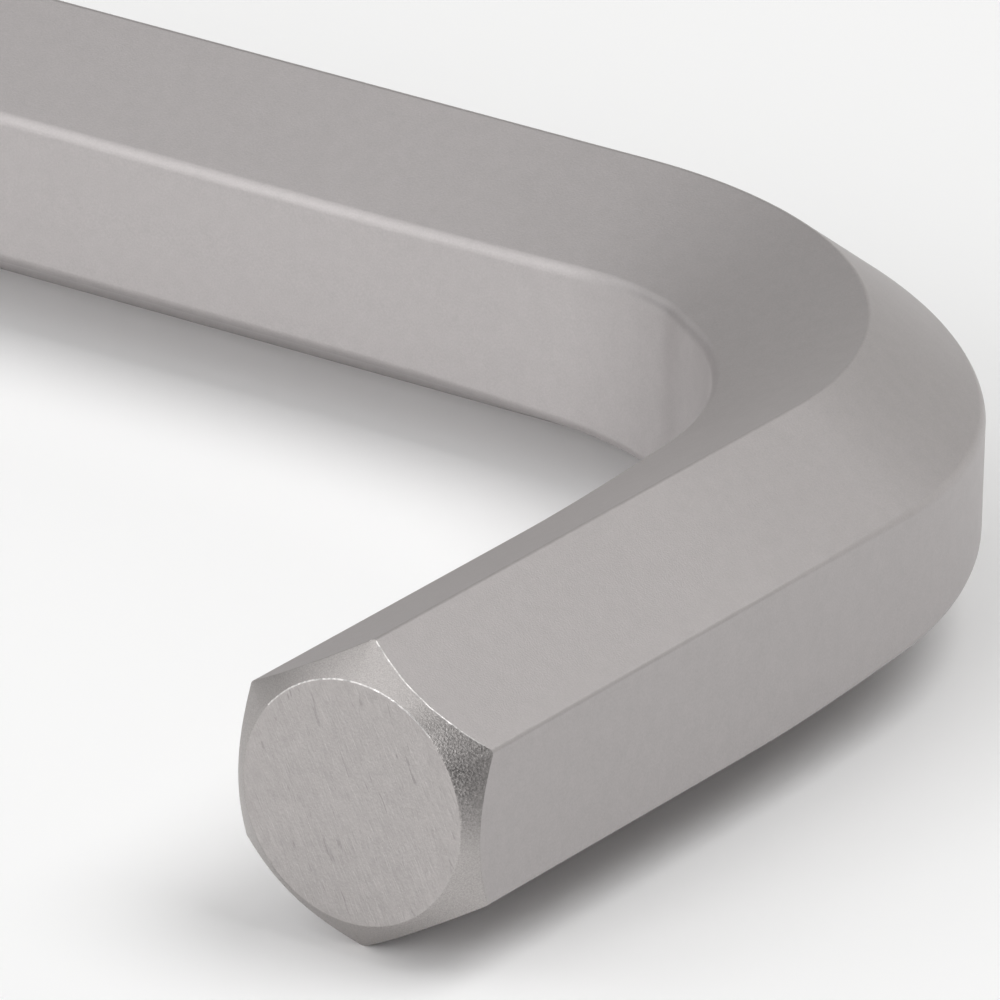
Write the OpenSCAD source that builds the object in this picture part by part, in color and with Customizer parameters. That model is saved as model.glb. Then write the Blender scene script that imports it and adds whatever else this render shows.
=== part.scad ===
// L-shaped hex key, bent cold from one hexagonal steel bar, lying on the ridge of its bar.

/* [Bar] */
// Width across the flats of the hexagonal bar
across_flats = 9.92; // [8:0.01:11]
// Overall length of the long arm, from its end to the outside of the bend
long_arm = 122; // [90:1:200]
// Overall length of the short arm, from its end to the outside of the bend
short_arm = 50; // [46:0.5:80]
// Radius that rounds the six long edges of the bar
edge_r = 0.3; // [0.1:0.05:0.6]

/* [Bend] */
// Radius of the bend, to the centreline of the bar
bend_r = 17.1; // [14:0.1:20]
// How far the change of section runs out of the bend into each arm
run_out = 10; // [4:0.1:14]
// How far the outer flat is drawn in at the middle of the bend
outer_draw = 0.71; // [0:0.01:1]
// How much lower the two outer edges stand at the middle of the bend
outer_narrowing = 0.53; // [0:0.01:0.8]
// How far the inner flat is pushed in towards the bend's centre
inner_bulge = 0.62; // [0:0.01:1]
// How much higher the two inner edges stand at the middle of the bend
inner_widening = 0.54; // [0:0.01:0.8]
// How far the top and bottom ridges move outwards at the middle of the bend
ridge_shift = 0.04; // [0:0.01:0.4]
// How many degrees cold bending leaves the long arm turned about its own length
twist = 1.5; // [-3:0.1:3]

/* [Ends] */
// Diameter of the flat, ground face on each end
end_face_d = 8.92; // [6:0.01:9.4]
// Angle of the conical end chamfers, measured from the end face
chamfer_angle = 41; // [25:1:60]

/* [Hidden] */

// Centre of the hexagon to one of its sharp edges, before rounding
corner_r = across_flats / sqrt(3);
// Centre of the hexagon to the crown of a rounded edge
crown_r = corner_r - edge_r * (2 / sqrt(3) - 1);
half_flats = across_flats / 2;
// Facets on one rounded edge
edge_steps = 4;
// How far the leaning long arm reaches outwards from its centreline
outer_reach = max([for (p = section(0, twist)) p.x]);
// From where the arms' centrelines cross to each arm's end
long_reach = long_arm - half_flats;
short_reach = short_arm - outer_reach;

// Path lengths are counted from the middle of the bend, negative towards the long arm
half_turn = bend_r * PI / 4;
swept_half = half_turn + run_out;

// Degrees between rings in the bend, and length between rings beyond it
ring_angle = 3;
ring_gap = 1.4;
turn_rings = ceil(90 / ring_angle);
run_out_rings = ceil(run_out / ring_gap);

// Distance past the chamfer's foot at which its cone no longer touches the bar
cone_margin = 1;

// Share of the full change of section at path length s: none where the sweep ends, all in the middle
function change(s) = let (u = max(0, 1 - abs(s) / swept_half)) u * u * (3 - 2 * u);

// Degrees that the section leans at path length s: none on the short arm, all of the twist on the long arm
function lean(s) = let (u = max(0, min(1, 0.5 - s / (2 * swept_half)))) twist * u * u * (3 - 2 * u);

// Angle turned so far, from 0 on the long arm to 90 on the short arm
function turned(s) = max(0, min(90, (s + half_turn) / bend_r * 180 / PI));

// Length of straight arm that lies between path length s and the bend
function past_bend(s) = max(0, abs(s) - half_turn);

// Outward direction across the bar, in the plane of the bend
function outward(s) = [sin(turned(s)), cos(turned(s))];

// Centreline point, measured from where the arms' centrelines cross
function centre(s) =
    [-bend_r, -bend_r] + bend_r * outward(s)
    + past_bend(s) * (s < 0 ? [-1, 0] : [0, -1]);

// Sharp corners of the bar's section as [outwards, up], counted round from the upper outer one
function corners(share) =
    let (
        outer = [half_flats - outer_draw * share, corner_r / 2 - outer_narrowing * share],
        ridge = [ridge_shift * share, corner_r],
        inner = [-half_flats - inner_bulge * share, corner_r / 2 + inner_widening * share]
    )
    [
        outer, ridge, inner,
        [inner.x, -inner.y], [ridge.x, -ridge.y], [outer.x, -outer.y]
    ];

function unit(v) = v / norm(v);

function leaned(p, angle) = [p.x * cos(angle) - p.y * sin(angle), p.x * sin(angle) + p.y * cos(angle)];

// Arc of radius r that rounds corner b between its neighbours a and c
function round_corner(a, b, c, r) =
    let (
        to_a = unit(a - b),
        to_c = unit(c - b),
        half_angle = acos(to_a * to_c) / 2,
        middle = b + unit(to_a + to_c) * r / sin(half_angle),
        first = atan2(-to_a.x, to_a.y) + 180,
        swing = 180 - 2 * half_angle
    )
    [for (i = [0 : edge_steps]) middle + r * [
        cos(first + swing * i / edge_steps), sin(first + swing * i / edge_steps)
    ]];

// Closed outline of the bar's section with its edges rounded, leaning by an angle
function section(share, angle) =
    let (sharp = [for (p = corners(share)) leaned(p, angle)], n = len(sharp))
    [
        for (i = [0 : n - 1])
        each round_corner(sharp[(i + n - 1) % n], sharp[i], sharp[(i + 1) % n], edge_r)
    ];

// One ring of the sweep: the section at path length s, stood across the bar
function ring(s) =
    let (middle = centre(s), across = outward(s))
    [for (p = section(change(s), lean(s))) [middle.x + across.x * p.x, middle.y + across.y * p.x, p.y]];

// Path lengths of the rings, closer together in the bend than beyond it
function stations() = [
    for (i = [0 : run_out_rings - 1]) -swept_half + run_out * i / run_out_rings,
    for (i = [0 : turn_rings]) -half_turn + 2 * half_turn * i / turn_rings,
    for (i = [1 : run_out_rings]) half_turn + run_out * i / run_out_rings
];

// The bend and both run-outs, where the section narrows outside and widens inside
module bend() {
    rings = [for (s = stations()) ring(s)];
    around = len(rings[0]);
    last = len(rings) - 1;
    polyhedron(
        points = [for (r = rings) each r],
        faces = [
            [for (k = [0 : around - 1]) k],
            [for (k = [around - 1 : -1 : 0]) last * around + k],
            for (j = [0 : last - 1])
            for (k = [0 : around - 1])
            let (a = j * around + k, b = j * around + (k + 1) % around)
            each [[a, b + around, b], [a, a + around, b + around]]
        ],
        convexity = 4
    );
}

// A straight, leaning arm that stands on its end face, cut by the cone that chamfers its six corners
module arm(length, angle) {
    cone_r = corner_r + cone_margin;
    cone_h = (cone_r - end_face_d / 2) * tan(chamfer_angle);
    intersection() {
        linear_extrude(length) polygon(section(0, angle));
        rotate_extrude($fn = 96)
            polygon([[0, 0], [end_face_d / 2, 0], [cone_r, cone_h], [cone_r, length + 1], [0, length + 1]]);
    }
}

module hex_key() {
    color("#a9a5a3")
    translate([long_arm / 2 - half_flats, short_arm / 2 - outer_reach, crown_r]) {
        bend();
        translate([-long_reach, 0, 0]) rotate([90, 0, 90]) arm(long_reach - bend_r - run_out, twist);
        translate([0, -short_reach, 0]) rotate([-90, 0, 0]) arm(short_reach - bend_r - run_out, 0);
    }
}

hex_key();
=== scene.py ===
import math

import bpy
from mathutils import Matrix, Vector, noise


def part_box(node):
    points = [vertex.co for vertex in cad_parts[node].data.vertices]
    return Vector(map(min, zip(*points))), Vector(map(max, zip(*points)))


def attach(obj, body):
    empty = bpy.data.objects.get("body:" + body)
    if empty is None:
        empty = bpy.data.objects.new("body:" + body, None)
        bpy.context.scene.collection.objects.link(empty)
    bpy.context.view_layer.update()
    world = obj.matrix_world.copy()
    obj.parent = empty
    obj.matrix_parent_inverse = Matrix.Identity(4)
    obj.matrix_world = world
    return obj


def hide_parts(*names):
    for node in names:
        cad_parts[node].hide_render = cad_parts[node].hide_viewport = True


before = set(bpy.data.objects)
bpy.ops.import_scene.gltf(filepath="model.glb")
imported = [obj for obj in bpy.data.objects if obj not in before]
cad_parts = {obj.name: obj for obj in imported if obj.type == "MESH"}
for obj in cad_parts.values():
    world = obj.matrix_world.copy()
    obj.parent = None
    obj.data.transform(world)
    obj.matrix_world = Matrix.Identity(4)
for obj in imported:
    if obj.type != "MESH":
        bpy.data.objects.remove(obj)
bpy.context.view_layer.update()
mm = 0.001  # all sizes in the dictionaries are millimetres

# The bar and its bend, as the frame has them
barShape = {
    "acrossFlats": 9.92,
    "edgeRadius": 0.3,      # the frame's, which sets how high the bar's middle lies
    "longArmEdge": 0.55,    # the long arm's edges are worn rounder than the short arm's
    "bendEdge": 0.65,       # and stretching softens them further in the bend
    "shortArmEdge": 0.18,
    "ridgeEdge": 0.18,      # the top and bottom ridges stay sharp all along
    "edgeWaver": 0.25,      # share by which the rounding comes and goes in the bend
    "waverLength": 1.5,     # and the length over which it does
    "sharpTurn": 30,        # degrees; of the bar's edges only the long ones turn as much
    "smoothTurn": 25,       # and edges that turn less than this are shaded smooth
    "edgeSegments": 6,
    "bendRadius": 17.1,
    "bendSteps": 60,
    "runOut": 10,           # how far the change of section runs into each arm
    "runOutSteps": 14,
    "outerDraw": 0.71,      # outer flat drawn in at the middle of the bend
    "outerNarrowing": 0.53,
    "innerBulge": 0.62,     # inner flat pushed in
    "innerWidening": 0.54,
    "ridgeShift": 0.04,
    "twist": 1.5,           # degrees that the long arm is left turned about its own length
    # the mandrel's marks on the inner flat: place from the middle of the bend, width and depth
    "pressMarks": ((-6.2, 3, 0.15), (-8.6, 1.6, 0.02)),
    "markFade": 6,          # over which a mark runs out again
}

nodeLow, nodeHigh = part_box("hex_key")
halfFlats = barShape["acrossFlats"] * mm / 2
cornerRadius = barShape["acrossFlats"] * mm / math.sqrt(3)
bendRadius = barShape["bendRadius"] * mm
runOut = barShape["runOut"] * mm
halfTurn = bendRadius * math.pi / 4
# The long arm's leaning lower edge reaches a little further out than its flat
edgeCentre = cornerRadius - barShape["edgeRadius"] * mm / math.cos(math.radians(30))
outerReach = edgeCentre * math.cos(math.radians(30 - barShape["twist"])) + barShape["edgeRadius"] * mm
# The arms' centrelines cross here
crossing = Vector((nodeHigh.x - halfFlats, nodeHigh.y - outerReach, (nodeLow.z + nodeHigh.z) / 2))
longEnd = nodeLow.x
shortEnd = nodeLow.y
# Of the long edges only the top and bottom ridges lie further up or down than this
ridgeBand = cornerRadius * 0.75
# Spots this close to an end or to its rim count as on it
near = 0.1 * mm


def deselectAll():
    if bpy.context.object and bpy.context.object.mode != 'OBJECT':
        bpy.ops.object.mode_set(mode='OBJECT')
    bpy.ops.object.select_all(action='DESELECT')


def makeActive(piece):
    deselectAll()
    piece.select_set(True)
    bpy.context.view_layer.objects.active = piece


def placeInMesh(piece):
    # the object stays at the origin, unturned and unscaled
    makeActive(piece)
    bpy.ops.object.transform_apply(location=True, rotation=True, scale=True)


def applyModifier(piece, kind, settings):
    makeActive(piece)
    modifier = piece.modifiers.new(kind.title(), kind)
    for key, value in settings.items():
        setattr(modifier, key, value)
    bpy.ops.object.modifier_apply(modifier=modifier.name)


def extrudeAlong(move, steps=1):
    for i in range(steps):
        bpy.ops.mesh.extrude_region_move(TRANSFORM_OT_translate={"value": tuple(move / steps)})


def smoothShare(u):
    u = min(1.0, max(0.0, u))
    return u * u * (3 - 2 * u)


def sectionChange(pathPlace):
    # 0 where the run-outs end, 1 in the middle of the bend
    return smoothShare(1 - abs(pathPlace) / (halfTurn + runOut))


def sectionLean(pathPlace):
    # none on the short arm, all of the twist on the long arm
    return math.radians(barShape["twist"]) * smoothShare(0.5 - pathPlace / (2 * (halfTurn + runOut)))


def pathFrame(spot):
    # place along the bar's path from the middle of the bend, and the outward direction there
    spot = spot - crossing + Vector((bendRadius, bendRadius, 0))
    if spot.x < 0:
        return spot.x - halfTurn, Vector((0, 1, 0))
    if spot.y < 0:
        return halfTurn - spot.y, Vector((1, 0, 0))
    turned = math.atan2(spot.x, spot.y)
    return bendRadius * turned - halfTurn, Vector((math.sin(turned), math.cos(turned), 0))


def pressMark(pathPlace):
    # each mark is a short step towards the middle of the L that runs out slowly
    rise = 0
    for place, width, depth in barShape["pressMarks"]:
        u = (pathPlace / mm - place) / width
        fade = (u - 1) * width / barShape["markFade"]
        rise += depth * (smoothShare(u) - smoothShare(fade))
    return rise * mm


def pressBendSection(piece):
    # cold bending draws the outer flat in, spreads the inner one and turns the long arm a little
    centre = crossing - Vector((bendRadius, bendRadius, 0))
    for vertex in piece.data.vertices:
        spot = vertex.co - centre
        pathPlace, across = pathFrame(vertex.co)
        share = sectionChange(pathPlace) * mm
        outwards = spot.dot(across) - bendRadius
        side = 1 if spot.z > 0 else -1
        if abs(outwards) < halfFlats / 2:
            outMove, sideMove = barShape["ridgeShift"], 0
        elif outwards > 0:
            outMove, sideMove = -barShape["outerDraw"], -barShape["outerNarrowing"]
        else:
            outMove, sideMove = -barShape["innerBulge"], barShape["innerWidening"]
            outwards -= pressMark(pathPlace)
        pressed = Vector((outwards + outMove * share, spot.z + side * sideMove * share))
        leaned = Matrix.Rotation(sectionLean(pathPlace), 2) @ pressed
        vertex.co += across * (leaned.x + bendRadius - spot.dot(across))
        vertex.co.z = centre.z + leaned.y


def bendBar():
    deselectAll()
    bpy.ops.mesh.primitive_circle_add(vertices=6, radius=cornerRadius, fill_type='NGON',
                                      location=(longEnd, crossing.y, crossing.z),
                                      rotation=(math.pi / 2, 0, math.pi / 2))
    bar = bpy.context.object
    bar.name = "keyBar"
    placeInMesh(bar)
    bpy.ops.object.mode_set(mode='EDIT')
    bpy.ops.mesh.select_all(action='SELECT')
    longStraight = crossing.x - bendRadius - runOut - longEnd
    shortStraight = crossing.y - bendRadius - runOut - shortEnd
    extrudeAlong(Vector((longStraight, 0, 0)))
    extrudeAlong(Vector((runOut, 0, 0)), barShape["runOutSteps"])
    bpy.ops.mesh.spin(steps=barShape["bendSteps"], angle=math.pi / 2, axis=(0, 0, 1),
                      center=tuple(crossing - Vector((bendRadius, bendRadius, 0))))
    extrudeAlong(Vector((0, -runOut, 0)), barShape["runOutSteps"])
    extrudeAlong(Vector((0, -shortStraight, 0)))
    bpy.ops.mesh.select_all(action='SELECT')
    bpy.ops.mesh.remove_doubles(threshold=0.001 * mm)
    bpy.ops.mesh.normals_make_consistent(inside=False)
    bpy.ops.object.mode_set(mode='OBJECT')
    print("bar extruded and bent:", len(bar.data.vertices), "vertices")
    pressBendSection(bar)
    return bar


def edgeRounding(spot, lane):
    # radius of the long edges at a spot, in millimetres; lane keeps the edges' wavering apart
    if abs(spot.z - crossing.z) > ridgeBand:
        return barShape["ridgeEdge"]
    pathPlace, _ = pathFrame(spot)
    inBend = sectionChange(pathPlace)
    waverLength = barShape["waverLength"] * mm
    onArm = barShape["longArmEdge"] if pathPlace < 0 else barShape["shortArmEdge"]
    waver = barShape["edgeWaver"] * inBend * noise.noise(Vector((pathPlace / waverLength, lane, 0)))
    return (onArm + (barShape["bendEdge"] - onArm) * inBend) * (1 + waver)


def roundLongEdges(bar):
    widest = barShape["bendEdge"] * (1 + barShape["edgeWaver"])
    weights = bar.data.attributes.new("bevel_weight_edge", 'FLOAT', 'EDGE')
    faceTurn = {}
    for face in bar.data.polygons:
        for key in face.edge_keys:
            faceTurn.setdefault(key, []).append(face.normal)
    for edge in bar.data.edges:
        a, b = (bar.data.vertices[i].co for i in edge.vertices)
        onEnd = max(a.x, b.x) < longEnd + near or max(a.y, b.y) < shortEnd + near
        first, second = faceTurn[edge.key]
        if not onEnd and first.angle(second) > math.radians(barShape["sharpTurn"]):
            middle = (a + b) / 2
            lane = round((middle.z - crossing.z) / mm) + 0.5
            weights.data[edge.index].value = edgeRounding(middle, lane) / widest
    # the bevel's width is the flat that it takes, which is the radius times the tangent of 30 degrees
    applyModifier(bar, 'BEVEL', {"width": widest * mm * math.tan(math.radians(30)), "offset_type": 'OFFSET',
                                 "segments": barShape["edgeSegments"], "profile": 0.5,
                                 "limit_method": 'WEIGHT', "use_clamp_overlap": False})
    print("long edges rounded:", len(bar.data.polygons), "faces")


# The ground, chamfered ends
endShape = {
    "faceDiameter": 8.92,
    "chamferAngle": 41,     # degrees from the end face
    "cutterSteps": 240,
    "cutterMargin": 1.5,    # how far the chamfer tool reaches past the bar
    "cutterLead": 0.001,    # a hair's breadth off the end face, so that only the cone cuts it
    "chamferReach": 2,      # all of a chamfer lies this near its end
    "scallopReach": 8,      # and most points of the flats that it cuts, so their mean is this near
    "faceSlope": 0.99,      # cosine to the arm from which a face is part of the flat end
    "chamferSlope": 0.3,    # and from which it is part of the chamfer
    "wideFlat": 1,          # scallops are broken only where they meet a face as wide as this
    "breakWidth": 0.03,     # the fine break on the rim and along the scallops
    "burrHeight": 0.012,    # and the thin burr that grinding has raised on it
    "burrSize": 0.25,       # over which the burr comes and goes
    "burrMean": 0.5,        # share of its height that it has on average
    "rimBurr": (46, 142),   # degrees round the arm, from outwards over the top
    "scallopBurr": (33, 92),
}


def makeChamferTool(name, tip, inwards):
    # the wall left around a conical hole, like a pencil sharpener
    tip = tip - inwards * endShape["cutterLead"] * mm
    faceRadius = endShape["faceDiameter"] * mm / 2
    margin = endShape["cutterMargin"] * mm
    coneRadius = cornerRadius + margin
    coneDepth = (coneRadius - faceRadius) * math.tan(math.radians(endShape["chamferAngle"]))
    across = Vector((1, 1, 1)) - inwards  # the two directions square to the arm
    deselectAll()
    bpy.ops.mesh.primitive_circle_add(vertices=endShape["cutterSteps"], radius=faceRadius,
                                      location=tip - inwards * margin,
                                      rotation=inwards.to_track_quat('Z', 'Y').to_euler())
    tool = bpy.context.object
    tool.name = name
    placeInMesh(tool)
    bpy.ops.object.mode_set(mode='EDIT')
    bpy.ops.mesh.select_mode(type='EDGE')
    bpy.ops.mesh.select_all(action='SELECT')
    steps = [(margin, 1), (coneDepth, coneRadius / faceRadius),
             (0, (coneRadius + margin) / coneRadius), (-coneDepth - margin, 1)]
    for depth, growth in steps:
        bpy.ops.mesh.extrude_edges_move(TRANSFORM_OT_translate={"value": tuple(inwards * depth)})
        bpy.ops.transform.resize(value=tuple(inwards + across * growth), center_override=tuple(tip))
    bpy.ops.mesh.select_all(action='DESELECT')
    bpy.ops.mesh.select_non_manifold()
    bpy.ops.mesh.bridge_edge_loops()
    bpy.ops.mesh.select_all(action='SELECT')
    bpy.ops.mesh.normals_make_consistent(inside=False)
    bpy.ops.object.mode_set(mode='OBJECT')
    return tool


def grindEnds(bar):
    tips = {
        "shortChamferTool": (Vector((crossing.x, shortEnd, crossing.z)), Vector((0, 1, 0))),
        "longChamferTool": (Vector((longEnd, crossing.y, crossing.z)), Vector((1, 0, 0))),
    }
    for name, (tip, inwards) in tips.items():
        tool = makeChamferTool(name, tip, inwards)
        applyModifier(bar, 'BOOLEAN', {"operation": 'DIFFERENCE', "solver": 'EXACT', "object": tool})
        bpy.data.objects.remove(tool)
    print("ends chamfered:", len(bar.data.polygons), "faces")


bar = bendBar()
roundLongEdges(bar)
grindEnds(bar)


# Finish of the steel; grain and stroke sizes are millimetres, contrasts are shares of the colour
noiseSpan = (0.3, 0.7)  # nearly all of a noise's values
steelFinish = {
    "colour": (0.474, 0.45, 0.448, 1),
    "roughness": 0.5,
    "grainSize": 0.07,
    "grainDepth": 0.007,
    "grainContrast": 0.045,
    "mottleSize": 0.6,
    "mottleContrast": 0.018,
}
groundFinish = {
    "colour": (0.425, 0.402, 0.395, 1),
    "roughness": 0.48,
    "strokeSize": (0.11, 0.8),      # across and along the grinding strokes
    "strokeLean": -27,              # degrees from upright
    "strokeWaver": 0.9,             # how far the strokes stray from their line
    "strokeDepth": 0.013,
    "strokeDetail": 4,
    "strokeContrast": 0.04,
    "scratchSize": (0.16, 1.1),
    "scratchDetail": 2,
    "scratchSpan": (0.29, 0.35),    # noise values between a scratch and the sound face
    "scratchContrast": 0.18,
    "grainSize": 0.08,
    "grainDepth": 0.01,
    "grainContrast": 0.04,
    "mottleSize": 0.45,
    "mottleContrast": 0.035,
}
chamferFinish = {
    "colour": (0.437, 0.415, 0.406, 1),
    "roughness": 0.5,
    "grainSize": 0.05,
    "grainDepth": 0.009,
    "grainContrast": 0.14,
    "shadedPitsTurn": 27,         # degrees round the short arm to the middle of the pitted patch, which also carries painted shade
    "shadedPitsWidth": 6.2,
    "shadedPitsGrain": 0.08,
    "tornDepth": 0.03,
    "paintedShadeSpan": (0.05, 0.65),       # values over which the painted shade runs from none to its darkest
    "paintedShadeDarkest": 0.22,      # painted shade at its darkest, standing in for a dark reflection on the chamfer
}
# The break's colour is a painted highlight: far lighter than the steel, so that the break shows as a bright
# line
breakHighlightFinish = {
    "colour": (0.74, 0.72, 0.71, 1),
    "roughness": 0.45,
    "grainSize": 0.2,
    "grainDepth": 0.01,
    "grainSpan": (0.35, 0.65),
    "grainContrast": 0.4,
}


def makeSteel(name, finish):
    steel = bpy.data.materials.new(name)
    steel.use_nodes = True
    shader = steel.node_tree.nodes["Principled BSDF"]
    shader.inputs["Base Color"].default_value = finish["colour"]
    shader.inputs["Metallic"].default_value = 1
    shader.inputs["Roughness"].default_value = finish["roughness"]
    return steel


def addNoise(steel, size, lean=0, detail=3, waver=0):
    # size is the spot's width in millimetres along x, y and z, after leaning about y
    tree = steel.node_tree
    place = tree.nodes.new("ShaderNodeTexCoord")
    mapping = tree.nodes.new("ShaderNodeMapping")
    mapping.vector_type = 'TEXTURE'
    mapping.inputs["Rotation"].default_value = (0, math.radians(lean), 0)
    mapping.inputs["Scale"].default_value = tuple(width * mm for width in size)
    spots = tree.nodes.new("ShaderNodeTexNoise")
    spots.inputs["Scale"].default_value = 1
    spots.inputs["Detail"].default_value = detail
    spots.inputs["Distortion"].default_value = waver
    tree.links.new(place.outputs["Object"], mapping.inputs["Vector"])
    tree.links.new(mapping.outputs["Vector"], spots.inputs["Vector"])
    return spots.outputs["Fac"]


def addGrain(steel, size):
    return addNoise(steel, (size, size, size))


def addShade(steel, factor, span, darkest, brightest):
    # a factor that runs over the span scales the colour from darkest to brightest
    tree = steel.node_tree
    shader = tree.nodes["Principled BSDF"]
    scale = tree.nodes.new("ShaderNodeMapRange")
    scale.inputs["From Min"].default_value, scale.inputs["From Max"].default_value = span
    scale.inputs["To Min"].default_value = darkest
    scale.inputs["To Max"].default_value = brightest
    tint = tree.nodes.new("ShaderNodeHueSaturation")
    colourIn = shader.inputs["Base Color"]
    if colourIn.is_linked:
        tree.links.new(colourIn.links[0].from_socket, tint.inputs["Color"])
    else:
        tint.inputs["Color"].default_value = colourIn.default_value
    tree.links.new(factor, scale.inputs["Value"])
    tree.links.new(scale.outputs["Result"], tint.inputs["Value"])
    tree.links.new(tint.outputs["Color"], colourIn)


def addContrast(steel, factor, contrast):
    addShade(steel, factor, noiseSpan, 1 - contrast, 1 + contrast)


def addRelief(steel, height, depth):
    # depth in millimetres; a second relief is laid over the first
    tree = steel.node_tree
    shader = tree.nodes["Principled BSDF"]
    bump = tree.nodes.new("ShaderNodeBump")
    bump.inputs["Strength"].default_value = 1
    bump.inputs["Distance"].default_value = depth * mm
    if shader.inputs["Normal"].is_linked:
        tree.links.new(shader.inputs["Normal"].links[0].from_socket, bump.inputs["Normal"])
    tree.links.new(height, bump.inputs["Height"])
    tree.links.new(bump.outputs["Normal"], shader.inputs["Normal"])


def makeSatinSteel():
    steel = makeSteel("satinSteel", steelFinish)
    grain = addGrain(steel, steelFinish["grainSize"])
    addRelief(steel, grain, steelFinish["grainDepth"])
    addContrast(steel, grain, steelFinish["grainContrast"])
    addContrast(steel, addGrain(steel, steelFinish["mottleSize"]), steelFinish["mottleContrast"])
    return steel


def makeGroundSteel():
    steel = makeSteel("groundSteel", groundFinish)
    lean, waver = groundFinish["strokeLean"], groundFinish["strokeWaver"]
    across, along = groundFinish["strokeSize"]
    strokes = addNoise(steel, (across, along, along), lean, groundFinish["strokeDetail"], waver)
    addRelief(steel, strokes, groundFinish["strokeDepth"])
    addContrast(steel, strokes, groundFinish["strokeContrast"])
    across, along = groundFinish["scratchSize"]
    scratches = addNoise(steel, (across, along, along), lean, groundFinish["scratchDetail"], waver)
    addShade(steel, scratches, groundFinish["scratchSpan"], 1 - groundFinish["scratchContrast"], 1)
    grain = addGrain(steel, groundFinish["grainSize"])
    addRelief(steel, grain, groundFinish["grainDepth"])
    addContrast(steel, grain, groundFinish["grainContrast"])
    addContrast(steel, addGrain(steel, groundFinish["mottleSize"]), groundFinish["mottleContrast"])
    return steel


def addPatch(steel, spot, width):
    # 1 at the spot, falling to 0 half the width away
    tree = steel.node_tree
    place = tree.nodes.new("ShaderNodeTexCoord")
    mapping = tree.nodes.new("ShaderNodeMapping")
    mapping.vector_type = 'TEXTURE'
    mapping.inputs["Location"].default_value = tuple(spot)
    mapping.inputs["Scale"].default_value = (width * mm / 2,) * 3
    patch = tree.nodes.new("ShaderNodeTexGradient")
    patch.gradient_type = 'SPHERICAL'
    tree.links.new(place.outputs["Object"], mapping.inputs["Vector"])
    tree.links.new(mapping.outputs["Vector"], patch.inputs["Vector"])
    return patch.outputs["Fac"]


def multiply(steel, first, second):
    tree = steel.node_tree
    product = tree.nodes.new("ShaderNodeMath")
    product.operation = 'MULTIPLY'
    tree.links.new(first, product.inputs[0])
    tree.links.new(second, product.inputs[1])
    return product.outputs["Value"]


def makeChamferSteel():
    steel = makeSteel("chamferSteel", chamferFinish)
    grain = addGrain(steel, chamferFinish["grainSize"])
    addRelief(steel, grain, chamferFinish["grainDepth"])
    addContrast(steel, grain, chamferFinish["grainContrast"])
    # pits in the short arm's chamfer at its upper outer corner, with painted shade over them standing in for
    # a dark reflection there
    turn = math.radians(chamferFinish["shadedPitsTurn"])
    outwards = Vector((math.cos(turn), 0, math.sin(turn)))
    pitsAndShadeSpot = Vector((crossing.x, shortEnd, crossing.z)) + outwards * endShape["faceDiameter"] * mm / 2
    pitsAndShadePatch = addPatch(steel, pitsAndShadeSpot, chamferFinish["shadedPitsWidth"])
    pitsAndPaintedShade = multiply(steel, pitsAndShadePatch, addGrain(steel, chamferFinish["shadedPitsGrain"]))
    addRelief(steel, pitsAndPaintedShade, chamferFinish["tornDepth"])
    # painted shade: the patch darkens the chamfer's colour, standing in for a dark reflection
    addShade(steel, pitsAndPaintedShade, chamferFinish["paintedShadeSpan"], 1, chamferFinish["paintedShadeDarkest"])
    return steel


def makeBreakHighlightSteel():
    steel = makeSteel("breakPaintedHighlightSteel", breakHighlightFinish)
    grain = addGrain(steel, breakHighlightFinish["grainSize"])
    addRelief(steel, grain, breakHighlightFinish["grainDepth"])
    contrast = breakHighlightFinish["grainContrast"]
    # painted highlight, broken up by the grain into lighter and darker stretches
    addShade(steel, grain, breakHighlightFinish["grainSpan"], 1 - contrast, 1 + contrast / 2)
    return steel


# Places of the four finishes in the bar's list of materials; the break's finish is lighter, a painted
# highlight
onFlat, onFace, onChamfer, onBreakHighlight = range(4)


def roundArm(spot, arm, tip):
    # distance from the arm's middle, and degrees round it from outwards over the top
    offset = spot - tip
    outwards = offset.x if arm.y else offset.y
    return math.hypot(outwards, offset.z), math.degrees(math.atan2(offset.z, outwards))


def breakSharpEdges(bar, arm, tip):
    # a fine bevel on the rim and along the scallops, but not across the rounded long edges; its faces take
    # the lighter break material, a painted highlight
    spots = bar.data.vertices
    beside = {}
    for face in bar.data.polygons:
        if (face.center - tip).dot(arm) < endShape["scallopReach"] * mm:
            longest = max((spots[i].co - spots[j].co).length for i, j in face.edge_keys)
            for key in face.edge_keys:
                beside.setdefault(key, []).append((face.material_index, face.area / longest))
    breaks = set()
    for key, faces in beside.items():
        if len(faces) < 2:
            continue
        (kind, width), (otherKind, _) = sorted(faces)[:2]
        alongRim = (kind, otherKind) == (onFace, onChamfer)
        alongScallop = (kind, otherKind) == (onFlat, onChamfer) and width > endShape["wideFlat"] * mm
        if alongRim or alongScallop:
            breaks.add(key)
    makeActive(bar)
    bpy.ops.object.mode_set(mode='EDIT')
    bpy.ops.mesh.select_mode(type='EDGE')
    bpy.ops.mesh.select_all(action='DESELECT')
    bpy.ops.object.mode_set(mode='OBJECT')
    for edge in bar.data.edges:
        edge.select = edge.key in breaks
    bpy.ops.object.mode_set(mode='EDIT')
    bpy.ops.mesh.bevel(offset_type='OFFSET', offset=endShape["breakWidth"] * mm, segments=2, profile=0.5,
                       affect='EDGES', clamp_overlap=False, material=onBreakHighlight)
    bpy.ops.object.mode_set(mode='OBJECT')


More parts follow.
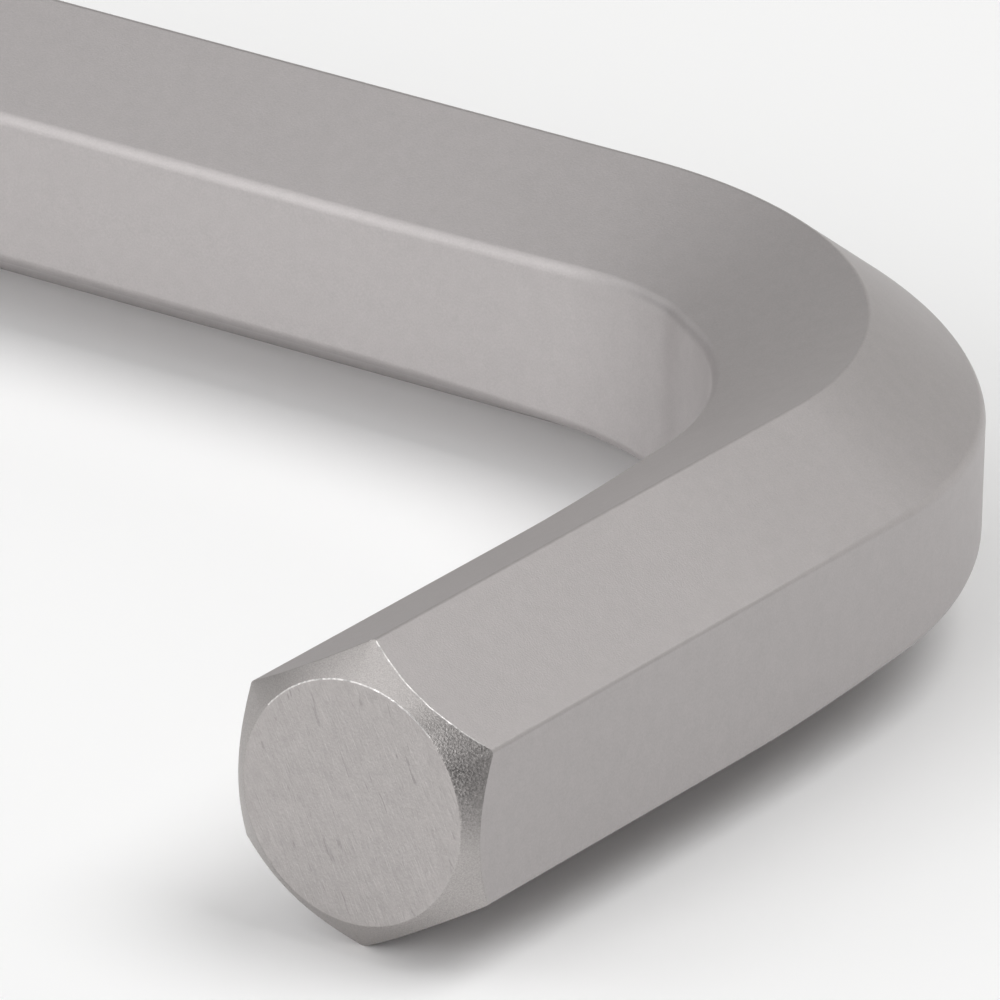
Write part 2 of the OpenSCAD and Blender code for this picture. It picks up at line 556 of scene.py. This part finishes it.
def raiseBurr(bar, arm, tip):
    # the burr stands up unevenly on parts of the break, which keep the lighter painted-highlight finish;
    # elsewhere the break has the chamfer's finish
    around = {}
    rimRadius = endShape["faceDiameter"] * mm / 2 + near
    for face in bar.data.polygons:
        if face.material_index != onBreakHighlight or (face.center - tip).dot(arm) > endShape["chamferReach"] * mm:
            continue
        radius, turn = roundArm(face.center, arm, tip)
        low, high = endShape["rimBurr"] if radius < rimRadius else endShape["scallopBurr"]
        if not low < turn < high:
            face.material_index = onChamfer
            continue
        for i in face.vertices:
            around[i] = around.get(i, 0) + 1
    # the break is two faces wide, so four of them meet along its middle
    crest = [bar.data.vertices[i] for i, count in around.items() if count == 4]
    for vertex in crest:
        waver = endShape["burrMean"] + noise.noise(vertex.co / (endShape["burrSize"] * mm))
        vertex.co += vertex.normal * endShape["burrHeight"] * mm * max(0.0, waver)
    print("burr raised on", len(crest), "points")


def finishFaces(bar):
    # flats, ground end faces and chamfers; the breaks between them are cut and finished end by end
    for make in (makeSatinSteel, makeGroundSteel, makeChamferSteel, makeBreakHighlightSteel):
        bar.data.materials.append(make())
    for arm, tip in ((Vector((0, 1, 0)), Vector((crossing.x, shortEnd, crossing.z))),
                     (Vector((1, 0, 0)), Vector((longEnd, crossing.y, crossing.z)))):
        for face in bar.data.polygons:
            if (face.center - tip).dot(arm) < endShape["chamferReach"] * mm:
                slope = -face.normal.dot(arm)
                if slope > endShape["faceSlope"]:
                    face.material_index = onFace
                elif slope > endShape["chamferSlope"]:
                    face.material_index = onChamfer
        breakSharpEdges(bar, arm, tip)
        raiseBurr(bar, arm, tip)
    print("faces by finish:", [sum(f.material_index == i for f in bar.data.polygons) for i in range(4)])


def smoothShading(bar):
    # smooth within each finish, so that the burr doesn't bend the light on the faces beside it
    makeActive(bar)
    bpy.ops.object.shade_smooth_by_angle(angle=math.radians(barShape["smoothTurn"]))
    kinds = {}
    for face in bar.data.polygons:
        for key in face.edge_keys:
            kinds.setdefault(key, set()).add(face.material_index)
    for edge in bar.data.edges:
        if len(kinds[edge.key]) > 1:
            edge.use_edge_sharp = True
    # with this much weight the large flats alone set the shading beside them
    applyModifier(bar, 'WEIGHTED_NORMAL', {"keep_sharp": True, "weight": 100})
    print("shading smoothed over", len(bar.data.polygons), "faces")


finishFaces(bar)
smoothShading(bar)

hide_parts("hex_key")
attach(bar, "root")

# Floor and light
lightRig = {
    "distance": 1200,
    "floorColour": (0.92, 0.92, 0.92, 1),
    "floorSize": 4000,
    "floorRoughness": 0.9,
    "room": 0.1,
    "warm": (1, 0.99, 0.965),
    "warmFrom": 140,        # azimuths between which the light is warm
    "warmTo": 250,
    # azimuth and elevation in degrees, diameter in millimetres, and watts
    # azimuth 0 is on the inner side of the long arm, 90 beyond the bend
    "softboxes": {
        "lowFrontBox": (0, 15, 900, 8.4),
        "frontLeftBox": (330, 40, 900, 2.7),
        "lowLeftBox": (300, 15, 900, 1.2),
        "highLeftBox": (300, 65, 900, 1.3),
        "leftBox": (270, 40, 900, 1.5),
        "lowCornerBox": (240, 15, 900, 0.4),
        "lowBackLeftBox": (210, 15, 900, 1.05),
        "lowBackBox": (180, 15, 900, 0.7),
        "backBox": (180, 65, 900, 1.7),
        "lowBackRightBox": (150, 15, 900, 1.7),
        "rightBox": (120, 65, 900, 6.8),
    },
}


def addStudio():
    deselectAll()
    bpy.ops.mesh.primitive_plane_add(size=lightRig["floorSize"] * mm, location=(0, 0, 0))
    floor = bpy.context.object
    floor.name = "studioFloor"
    paint = bpy.data.materials.new("floorPaint")
    paint.use_nodes = True
    shader = paint.node_tree.nodes["Principled BSDF"]
    shader.inputs["Base Color"].default_value = lightRig["floorColour"]
    shader.inputs["Roughness"].default_value = lightRig["floorRoughness"]
    floor.data.materials.append(paint)
    world = bpy.data.worlds.new("studioRoom")
    world.use_nodes = True
    background = world.node_tree.nodes["Background"]
    background.inputs["Color"].default_value = (1, 1, 1, 1)
    background.inputs["Strength"].default_value = lightRig["room"]
    bpy.context.scene.world = world
    bpy.context.scene.view_settings.view_transform = 'Standard'
    for name, (azimuth, elevation, diameter, watts) in lightRig["softboxes"].items():
        turn, rise = math.radians(azimuth), math.radians(elevation)
        towards = Vector((math.sin(turn) * math.cos(rise), -math.cos(turn) * math.cos(rise), math.sin(rise)))
        data = bpy.data.lights.new(name, 'AREA')
        data.shape = 'DISK'
        data.size = diameter * mm
        data.energy = watts
        if lightRig["warmFrom"] < azimuth < lightRig["warmTo"]:
            data.color = lightRig["warm"]
        light = bpy.data.objects.new(name, data)
        bpy.context.scene.collection.objects.link(light)
        light.location = crossing + towards * lightRig["distance"] * mm
        light.rotation_euler = towards.to_track_quat('Z', 'Y').to_euler()
    print("studio lit by", len(lightRig["softboxes"]), "softboxes")


addStudio()

# The photo's camera: where it stands, and where the crossing of the centrelines falls in the picture
cameraView = {
    "azimuth": 32.43,
    "elevation": 22.319,
    "roll": 2.173,
    "distance": 647.4,
    "pixelsPerMm": 27.733,
    "crossingPixel": (1043.03, 412.63),
    "frame": 1000,
    "sensor": 36,
}


def addCamera():
    azimuth = math.radians(cameraView["azimuth"])
    elevation = math.radians(cameraView["elevation"])
    roll = math.radians(cameraView["roll"])
    back = Vector((math.sin(azimuth) * math.cos(elevation), -math.cos(azimuth) * math.cos(elevation),
                   math.sin(elevation)))
    levelRight = Vector((math.cos(azimuth), math.sin(azimuth), 0))
    levelUp = back.cross(levelRight)
    right = levelRight * math.cos(roll) + levelUp * math.sin(roll)
    up = levelUp * math.cos(roll) - levelRight * math.sin(roll)
    distance = cameraView["distance"] * mm
    pixelSize = mm / cameraView["pixelsPerMm"]
    middle = cameraView["frame"] / 2
    aside = (cameraView["crossingPixel"][0] - middle) * pixelSize
    below = (cameraView["crossingPixel"][1] - middle) * pixelSize
    data = bpy.data.cameras.new("photoCamera")
    sensor = cameraView["sensor"]
    data.sensor_width = sensor
    data.lens = sensor * cameraView["distance"] * cameraView["pixelsPerMm"] / cameraView["frame"]
    camera = bpy.data.objects.new("photoCamera", data)
    bpy.context.scene.collection.objects.link(camera)
    camera.location = crossing - right * aside + up * below + back * distance
    turn = Matrix((right, up, back)).transposed()
    camera.rotation_euler = turn.to_euler()
    bpy.context.scene.camera = camera
    print("camera set with a lens of", round(data.lens), "mm")


addCamera()
